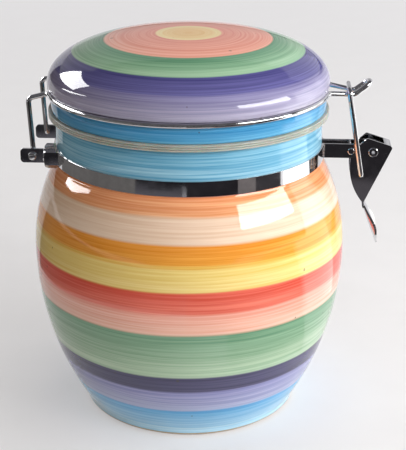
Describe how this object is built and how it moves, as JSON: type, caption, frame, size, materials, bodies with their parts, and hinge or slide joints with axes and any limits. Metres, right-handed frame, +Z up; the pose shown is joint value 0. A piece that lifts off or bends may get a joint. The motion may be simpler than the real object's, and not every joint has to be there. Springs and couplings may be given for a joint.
{
  "type": "clamp-lid biscuit jar",
  "caption": "Round stoneware biscuit jar with a domed lid on a wire hinge, a rubber gasket and an over-centre wire and lever latch.",
  "frame": {"origin": "centre of the foot, on the jar's axis, in the plane it stands on", "axes": "+X towards the latch, -X towards the lid's hinge, +Z up along the jar's axis"},
  "size_m": [0.1795, 0.1552, 0.1893],
  "materials": {
    "jar_glaze": "gloss",
    "lid_glaze": "gloss",
    "silicone": "satin",
    "wire_steel": "polished",
    "band_steel": "polished",
    "lever_steel": "polished"
  },
  "bodies": {
    "jar": {"jar_body": "jar_glaze", "neck_band": "band_steel", "hinge_nut_front": "band_steel", "hinge_nut_rear": "band_steel", "hinge_eye_front": "band_steel", "hinge_eye_rear": "band_steel", "band_rivet": "band_steel"},
    "lid": {"lid": "lid_glaze", "gasket": "silicone", "lid_wire": "wire_steel"},
    "lever": {"lever": "lever_steel", "lever_pivot": "lever_steel"},
    "bail": {"bail": "wire_steel"}
  },
  "joints": [
    {"name": "lid_hinge", "type": "hinge", "parent": "jar", "child": "lid", "pos_m": [-0.0742, 0, 0.13275], "axis": [0, -1, 0], "range_deg": [0, 175]},
    {"name": "lever_swing", "type": "hinge", "parent": "jar", "child": "lever", "pos_m": [0.0903, 0, 0.13275], "axis": [0, -1, 0], "range_deg": [0, 108], "deforming": ["bail"]},
    {"name": "bail_swing", "type": "hinge", "parent": "lever", "child": "bail", "pos_m": [0.0849, 0, 0.12105], "axis": [0, -1, 0], "range_deg": [-108, 0]}
  ],
  "couplings": [
    {"joint": "bail_swing", "follows": "lever_swing", "ratio": -1}
  ]
}
